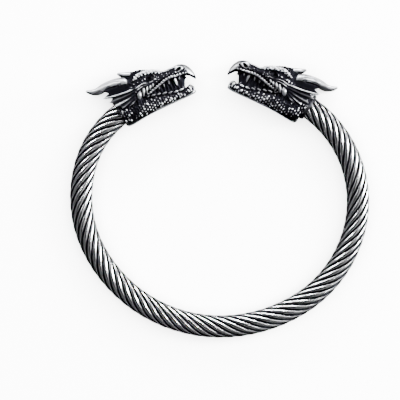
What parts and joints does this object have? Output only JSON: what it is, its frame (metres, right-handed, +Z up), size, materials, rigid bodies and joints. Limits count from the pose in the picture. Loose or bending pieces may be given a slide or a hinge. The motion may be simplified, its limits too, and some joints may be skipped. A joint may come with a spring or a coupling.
{
  "type": "arm ring",
  "caption": "Open arm ring of twisted steel wire rope with a cast dragon head on each end, jaws open and facing across the gap.",
  "frame": {"origin": "centre of the bounding box's underside, on the surface that the ring lies on", "axes": "+X across the ring towards the right head, +Y from the bottom of the ring towards its opening, +Z up, away from the surface"},
  "size_m": [0.0748, 0.0691, 0.0089],
  "materials": {
    "wire": "polished round wire with blackened grooves",
    "core": "blackened, hidden by the wires",
    "head": "polished casting with black antiquing in the recesses"
  },
  "bodies": {
    "root": {"wire_01": "wire", "wire_02": "wire", "wire_03": "wire", "wire_04": "wire", "wire_05": "wire", "wire_06": "wire", "wire_07": "wire", "wire_08": "wire", "wire_09": "wire", "wire_10": "wire", "cable_core": "core", "dragon_head_left": "head", "dragon_head_right": "head"}
  },
  "joints": []
}
